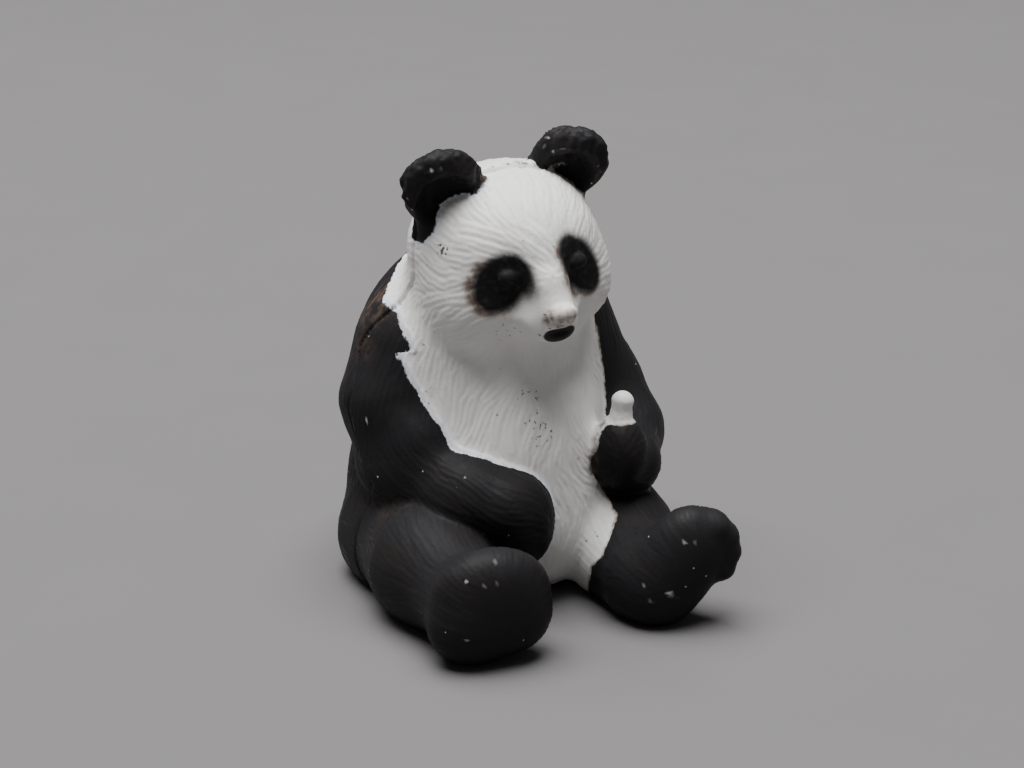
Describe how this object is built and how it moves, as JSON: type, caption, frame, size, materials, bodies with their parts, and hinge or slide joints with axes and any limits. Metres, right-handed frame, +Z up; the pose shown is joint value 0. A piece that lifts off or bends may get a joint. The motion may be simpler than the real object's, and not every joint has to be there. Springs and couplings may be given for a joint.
{
  "type": "panda figurine",
  "caption": "Seated panda figurine with round cupped ears, legs forward, one arm across the belly and a stub of bamboo held upright in the other paw.",
  "frame": {"origin": "middle of the footprint, on the surface it stands on", "axes": "+Z up, the panda faces -Y, and its own left side is +X"},
  "size_m": [0.0372, 0.0432, 0.05],
  "materials": {
    "painted_vinyl": "moulded vinyl with carved fur, painted satin black and white by hand, eye patches sprayed"
  },
  "bodies": {
    "root": {"panda": "painted_vinyl"}
  },
  "joints": []
}
